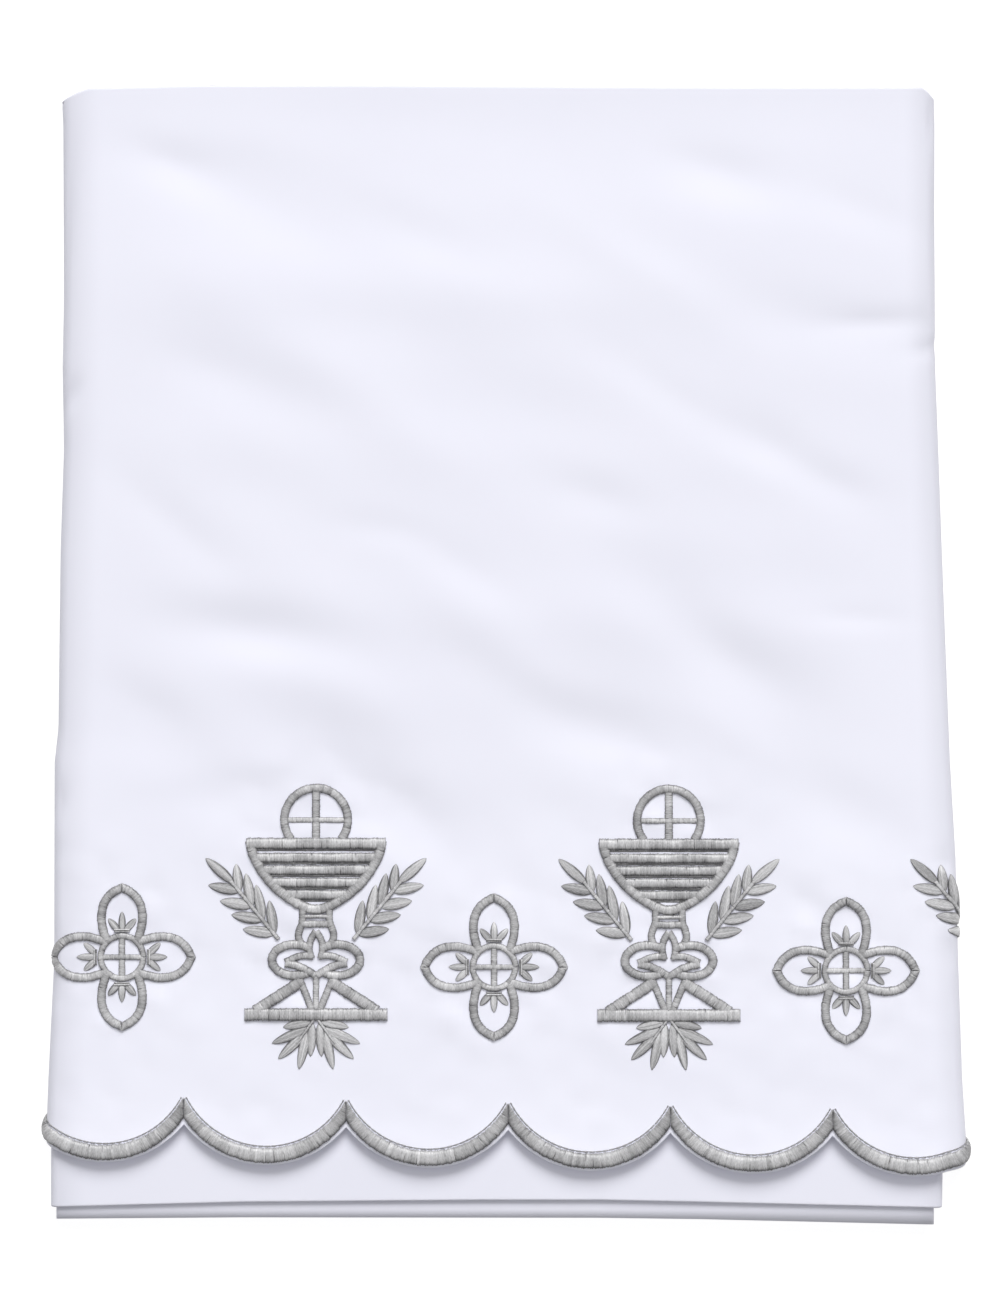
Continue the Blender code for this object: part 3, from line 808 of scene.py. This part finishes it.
def makeEdging(values):
    # One band and one thin run of stitches for each scallop, right round the packet
    skins = []
    own = dict(thread, paintedEdgeShade=values["paintedEdgeShade"], endLength=values["endLength"])
    for number in range(values["first"], values["last"] + 1):
        innerEnd, outerEnd, edgeShare = scallopStitches(number, values)
        skins.append(bandSkin(innerEnd, outerEnd, values["crown"], values=own,
                              detail=values["detail"], edgeShare=edgeShare))
        skins.append(runSkin(innerEnd, outerEnd, values))
    return joined("edging_satin", skins)


# All forms below are in mm round the emblem's centre. A band is its width, crown and lift.
chaliceForm = {
    "host": (0, 10.5, 14.3, 14.3, -38, 218),  # centre, radii, from and to in degrees
    "hostBand": (3.8, 1.6, 0.0),
    "hostBar": (levelLine(13.5, 10.4), (2.4, 0.8, 0.0)),
    "hostUpright": ([(0, 1), (0, 24)], (3.6, 1.0, 0.12)),
    "rim": (31.4, -0.1),  # half length, y
    "rimBand": (5.0, 1.9, 0.2),
    "bowl": [(-29.6, 1.0), (-28.9, -3.5), (-26.6, -9.0), (-22.4, -15.6), (-16.6, -21.6),
             (-9.8, -26.5), (-4.0, -29.3), (0, -30.0)],
    "bowlBand": (4.4, 1.75, 0.12),
    "stripes": (-6.5, -12.1, -17.7, -23.2),
    "stripeBand": (4.3, 1.75, -0.05),
    "stripeInset": 0.4,
    "paintedStripeShadow": (1.2, 0.45, 0.0),  # painted shadow: a dark band under the rim and under each stripe
    "paintedStripeShadowTone": -1.0,
    "paintedStripeShadowInset": 0.8,
    "paintedStripeShadowLap": 0.15,
    "collars": [(levelLine(6.6, -33.0), (1.8, 1.3, 0.15)),
                (levelLine(6.8, -36.4), (3.2, 1.3, 0.15))],
    "loop": (-9.6, -52.6, 10.2, 7.0, 50, 306),
    "loopBand": (4.0, 1.7, 0.0),
    "stalk": ([(-0.6, -79), (-9.0, -90.5)], (1.3, 0.7, 0.75)),
    "stem": ([(0, -58), (0, -80)], (2.8, 1.1, 0.2)),
    "base": (levelLine(32.2, -77.1), (5.7, 2.0, 0.25)),
}
# Lines drawn at both sides: points, curved, band
chaliceSides = [
    ([(-6.0, -29), (-5.9, -35.5), (-7.4, -38.8), (-8.2, -42), (-6.6, -45.5)], True,
     (3.3, 1.5, 0.0)),
    ([(0, -39.6), (-2.6, -43.5), (-3.2, -48), (-2.0, -52)], True, (3.1, 1.5, 0.1)),
    ([(-1.2, -51), (-7, -50.4), (-13.9, -53.6)], True, (3.2, 1.5, 0.15)),
    ([(-13.9, -54.0), (-7, -55.4), (0, -59.8)], True, (3.6, 1.6, 0.2)),
    ([(-7.4, -61.2), (-0.9, -77)], False, (3.2, 1.4, 0.1)),
    ([(-6.6, -62.2), (-27.4, -75.6)], False, (5.2, 1.8, 0.0)),
]
# Leaves of the spray under the foot: x, y, angle, length, width
sprayLeaves = [(-2.0, -80.2, 192, 13.0, 4.6), (-3.4, -83.2, 203, 17.8, 4.6),
               (-5.0, -85.6, 224, 16.6, 4.6), (-3.6, -84.0, 257, 18.2, 4.6),
               (-1.7, -81, 267, 15, 4.6)]


def makeChalice(name, centre):
    # Host and bars, stripes with a painted shadow under them and under the rim, bowl, rim,
    # collars, both sides of the knop and foot, spray, stem and base
    form = chaliceForm
    bowl = np.array(form["bowl"])

    def bowlLine(y, inset):
        # The level line between both walls of the bowl, less an inset at each
        return levelLine(-np.interp(-y, -bowl[:, 1], bowl[:, 0]) - inset, y)

    skins = []

    def add(points, band, **how):
        skins.append(strokeSkin(points, band, centre, **how))

    add(arc(*form["host"]), form["hostBand"])
    add(*form["hostBar"])
    add(*form["hostUpright"], humps=2)
    for y in form["stripes"]:
        add(bowlLine(y, form["stripeInset"]), form["stripeBand"])
    # A dark band as painted shadow under the rim and under each stripe
    for above, band in ((form["rim"][1], form["rimBand"]),
                        *((y, form["stripeBand"]) for y in form["stripes"])):
        y = above - band[0] / 2 - form["paintedStripeShadow"][0] / 2 + form["paintedStripeShadowLap"]
        add(bowlLine(y, form["paintedStripeShadowInset"]), form["paintedStripeShadow"], shade=form["paintedStripeShadowTone"])
    add(np.vstack([bowl, flipped(bowl[-2::-1])]), form["bowlBand"], curved=True)
    add(levelLine(*form["rim"]), form["rimBand"])
    for collar in form["collars"]:
        add(*collar)
    for flip in (False, True):
        for line, curved, band in chaliceSides:
            add(line, band, curved=curved, flip=flip)
        add(arc(*form["loop"]), form["loopBand"], flip=flip)
        skins += [leafSkin(*leaf, centre, flip=flip) for leaf in sprayLeaves]
        add(*form["stalk"], flip=flip)
    add(*form["stem"], humps=2)
    add(*form["base"])
    return joined(name, skins)


wheatForm = {
    "foot": (-16.8, -43.3),
    "top": (-38.9, -16.3),
    "stemBand": (1.8, 0.75, 0.7),
    "stemEnd": 0.98,  # share of the way from foot to top
    "endLeaf": (138.7, 16.5, 4.8),  # angle, length, width
    "endOverlap": 2.2,
    "endLift": 0.1,
    "upperLift": 0.09,
    # Leaves up the stem: share of the stem, then angle, length and width of the lower and
    # of the upper leaf
    "leaves": [
        (0.09, (171.5, 14.2, 5.2), (98.5, 15.2, 4.8)),
        (0.32, (170.5, 14.4, 5.4), (101.0, 16.2, 4.9)),
        (0.55, (170.5, 14.4, 5.4), (100.0, 15.0, 4.9)),
        (0.80, (169.0, 14.2, 5.1), (97.0, 12.4, 4.6)),
    ],
}


def makeWheat(name, centre, flip):
    # Pairs of leaves up a stem and one at its end, drawn for the left side of a chalice
    form = wheatForm
    foot, top = np.array(form["foot"]), np.array(form["top"])
    skins = []
    for share, lower, upper in form["leaves"]:
        x, y = foot + (top - foot) * share
        skins += [leafSkin(x, y, *lower, centre, flip=flip),
                  leafSkin(x, y, *upper, centre, lift=form["upperLift"], flip=flip)]
    heading = np.radians(form["endLeaf"][0])
    x, y = top - form["endOverlap"] * np.array([np.cos(heading), np.sin(heading)])
    skins.append(leafSkin(x, y, *form["endLeaf"], centre, lift=form["endLift"], flip=flip))
    stem = [foot, foot + (top - foot) * form["stemEnd"]]
    skins.append(strokeSkin(stem, form["stemBand"], centre, flip=flip))
    return joined(name, skins)


quatrefoilForm = {
    "radius": 9.6,
    "ringBand": (2.8, 1.3, 0.1),
    "uprightBand": (2.9, 0.9, 0.1),
    "barBand": (2.4, 0.85, 0.25),
    "petal": [(-6.9, 7.3), (-8.3, 11.5), (-9.2, 15.5), (-9.3, 19.6), (-8.5, 23.6),
              (-6.4, 27.2), (-3.3, 29.8), (0, 31.2)],
    "petalBand": (3.9, 1.65, 0.0),
    # Sprig: x, y, angle, length and width of a leaf, and how blunt it is
    "sideLeaf": (-1.2, 11.6, 132, 7.6, 3.3),
    "sideBlunt": 0.5,
    "middleLeaf": (0.0, 11.4, 90, 9.0, 3.3),
    "middleBlunt": 0.55,
    "leafCrown": 0.95,
    "middleLift": 0.12,
    "collars": [(levelLine(3.5, 12.4), (0.8, 0.7, 0.8), 0.2),  # line, band, tone; the second, darker one is a painted shadow under the first
                (levelLine(3.5, 11.6), (0.8, 0.5, 0.5), -0.5)],
}


def makeQuatrefoil(name, centre):
    # Four turned petals with a sprig, its collar and a painted shadow under the collar in each,
    # then the ring with its cross
    form = quatrefoilForm
    radius = form["radius"]
    skins = []
    for turn in (0, 90, 180, 270):
        for flip in (False, True):
            skins += [strokeSkin(form["petal"], form["petalBand"], centre, turn, curved=True,
                                 mitre=True, flip=flip),
                      leafSkin(*form["sideLeaf"], centre, form["leafCrown"], turn=turn,
                               flip=flip, blunt=form["sideBlunt"])]
        skins.append(leafSkin(*form["middleLeaf"], centre, form["leafCrown"],
                              form["middleLift"], turn, blunt=form["middleBlunt"]))
        skins += [strokeSkin(line, band, centre, turn, shade=shade)
                  for line, band, shade in form["collars"]]
    skins += [strokeSkin(arc(0, 0, radius, radius, 0, 360), form["ringBand"], centre),
              strokeSkin([(0, radius), (0, -radius)], form["uprightBand"], centre, humps=2),
              strokeSkin(levelLine(radius, 0), form["barBand"], centre)]
    return joined(name, skins)


def newMaterial(name, inputs):
    # A material with these values on its shader's own sockets
    material = bpy.data.materials.new(name)
    material.use_nodes = True
    shader = material.node_tree.nodes["Principled BSDF"]
    for socket, value in inputs.items():
        shader.inputs[socket].default_value = value
    return material, shader


def addNode(material, kind, inputs, **settings):
    # A shader node; each input takes a value, or is joined to another node's output
    node = material.node_tree.nodes.new("ShaderNode" + kind)
    for name, value in settings.items():
        setattr(node, name, value)
    for socket, value in inputs.items():
        if isinstance(value, bpy.types.NodeSocket):
            material.node_tree.links.new(value, node.inputs[socket])
        else:
            node.inputs[socket].default_value = value
    return node


def addRamp(material, factor, stops):
    # An even change from one colour to another between two places
    ramp = addNode(material, "ValToRGB", {"Fac": factor})
    for element, (position, colour) in zip(ramp.color_ramp.elements, stops):
        element.position = position
        element.color = (*colour, 1)
    return ramp.outputs["Color"]


cottonLook = {
    "shader": {"Roughness": 0.82, "Sheen Weight": 0.12, "Sheen Roughness": 0.5,
               "Specular IOR Level": 0.25},
    "broad": {"Scale": 9.0, "Detail": 3.0},
    # Bluish white: the cool tint of the light, painted into the white cotton
    "colours": [(0.3, (0.846, 0.848, 0.945)), (0.7, (0.868, 0.870, 0.965))],
    "yarn": {"Scale": 760.0, "Distortion": 0.6, "Detail": 1.0},
    "slub": {"Scale": 240.0, "Detail": 3.0},
    "slubShare": 0.7,
    "bump": {"Strength": 0.25, "Distance": 0.00006},
}


def cottonFinish(values):
    # White cotton with the cool tint of the light painted in as a bluish white, a little
    # uneven, times the tone, which is painted shade. The bump is a plain weave, which is one
    # wave times the other, plus slightly thicker yarns here and there.
    material, shader = newMaterial("white_cotton", values["shader"])
    join = material.node_tree.links.new
    spot = addNode(material, "TexCoord", {})
    broad = addNode(material, "TexNoise", {"Vector": spot.outputs["Object"], **values["broad"]})
    colour = addRamp(material, broad.outputs["Fac"], values["colours"])
    tone = addNode(material, "Attribute", {}, attribute_name="tone")
    shaded = addNode(material, "VectorMath", {0: colour, 1: tone.outputs["Fac"]},
                     operation="MULTIPLY")
    join(shaded.outputs["Vector"], shader.inputs["Base Color"])
    flat = {"Vector": spot.outputs["UV"]}
    warp, weft = (addNode(material, "TexWave", {**flat, **values["yarn"]},
                          bands_direction=direction) for direction in ("X", "Y"))
    weave = addNode(material, "Math", {0: warp.outputs["Fac"], 1: weft.outputs["Fac"]},
                    operation="MULTIPLY")
    slub = addNode(material, "TexNoise", {**flat, **values["slub"]})
    total = addNode(material, "Math", {0: slub.outputs["Fac"], 1: values["slubShare"],
                                       2: weave.outputs[0]}, operation="MULTIPLY_ADD")
    bump = addNode(material, "Bump", {"Height": total.outputs[0], **values["bump"]})
    join(bump.outputs["Normal"], shader.inputs["Normal"])
    return material


threadLook = {
    "shader": {"Specular IOR Level": 0.75, "Sheen Weight": 0.08},
    "stretch": (5200.0, 700.0, 1.0),  # fibres are this fine across and along a thread
    "fibre": {"Scale": 1.0, "Detail": 2.0},
    "toneShare": 0.5,
    "colours": [(0.05, (0.105, 0.104, 0.109)), (0.95, (0.80, 0.795, 0.81))],
    "gloss": {"To Min": 0.28, "To Max": 0.46},
    "bump": {"Strength": 0.35, "Distance": 0.00008},
}


def threadFinish(values):
    # Silver-grey thread. Its colour follows the tone's share plus fine fibres along it. The
    # tone is random from thread to thread, with painted shade and painted highlights.
    material, shader = newMaterial("silver_grey_thread", values["shader"])
    join = material.node_tree.links.new
    spot = addNode(material, "TexCoord", {})
    tone = addNode(material, "Attribute", {}, attribute_name="tone")
    stretch = addNode(material, "Mapping", {"Vector": spot.outputs["UV"],
                                            "Scale": values["stretch"]})
    noise = addNode(material, "TexNoise", {"Vector": stretch.outputs["Vector"],
                                           **values["fibre"]})
    fibre = noise.outputs["Fac"]
    total = addNode(material, "Math", {0: tone.outputs["Fac"], 1: values["toneShare"],
                                       2: fibre}, operation="MULTIPLY_ADD")
    join(addRamp(material, total.outputs[0], values["colours"]), shader.inputs["Base Color"])
    gloss = addNode(material, "MapRange", {"Value": fibre, **values["gloss"]})
    join(gloss.outputs["Result"], shader.inputs["Roughness"])
    bump = addNode(material, "Bump", {"Height": fibre, **values["bump"]})
    join(bump.outputs["Normal"], shader.inputs["Normal"])
    return material


cottonMaterial = cottonFinish(cottonLook)
threadMaterial = threadFinish(threadLook)

# Centres of the emblems, in mm; an ear is drawn beside its centre
emblems = {
    "chalices": {"chalice_left": (-85.7, -84.4), "chalice_right": (73.1, -84.8)},
    "lastEar": (231.5, -84.8),
    "quatrefoils": {"quatrefoil_left": (-173.0, -135.7), "quatrefoil_middle": (-5.6, -140.2),
                    "quatrefoil_right": (152.8, -141.8)},
}


def settle(item, node, material):
    # The piece stands for a CAD node and lies on the root body
    item.data.materials.append(material)
    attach(item, "root")
    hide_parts(node)


cloth = makeCloth(cotton)
settle(cloth, "cloth", cottonMaterial)
print("cloth folded")

stitched = [makeEdging(edging)]
settle(stitched[0], "scalloped_edging", threadMaterial)
print("edging stitched")


def addStitched(make, node, *how):
    # One emblem, named after its node
    stitched.append(make(node + "_satin", *how))
    settle(stitched[-1], node, threadMaterial)


for node, centre in emblems["chalices"].items():
    addStitched(makeChalice, node, centre)
    addStitched(makeWheat, "wheat_left_of_" + node, centre, False)
    addStitched(makeWheat, "wheat_right_of_" + node, centre, True)
addStitched(makeWheat, "wheat_at_right_fold", emblems["lastEar"], False)
for node, centre in emblems["quatrefoils"].items():
    addStitched(makeQuatrefoil, node, centre)
print("emblems stitched")

light = {
    # Strength, then in degrees: tilt from straight above, turn from +Y to +X, softness
    "key": (2.44, 50.0, 8.0, 32.0),
    "overhead": (0.95, 6.0, 5.0, 100.0),
    "skyStrength": 0.20,
    "floorHalf": 8.0,  # metres, half its side
    "floor": {"Roughness": 0.9, "Base Color": (0.25, 0.25, 0.25, 1),
              "Emission Color": (1, 1, 1, 1), "Emission Strength": 0.86},
}


def addLamp(name, strength, fromZenith, turn, softness):
    # A wide source far away, so that all of the cloth gets the same light
    lamp = bpy.data.lights.new(name, "SUN")
    lamp.energy = strength
    lamp.angle = np.radians(softness)
    addObject(name, lamp).rotation_euler = (-np.radians(fromZenith), 0.0, -np.radians(turn))


def addLight(values):
    # Two lamps and an even white sky
    addLamp("key", *values["key"])
    addLamp("overhead", *values["overhead"])
    sky = bpy.data.worlds.new("sky")
    sky.use_nodes = True
    background = sky.node_tree.nodes["Background"]
    background.inputs["Color"].default_value = (1, 1, 1, 1)
    background.inputs["Strength"].default_value = values["skyStrength"]
    bpy.context.scene.world = sky


def addFloor(values):
    # A square that shines a little itself, so that it stays pale under the shadows
    half = values["floorHalf"]
    corners = np.array([(-half, -half, 0), (half, -half, 0), (half, half, 0), (-half, half, 0)])
    floor = meshFromQuads("floor", corners, np.array([[0, 1, 2, 3]]))
    floor.data.materials.append(newMaterial("pale_floor", values["floor"])[0])


addLight(light)
addFloor(light)
bpy.context.scene.view_settings.view_transform = "Standard"
print("floor and light set")
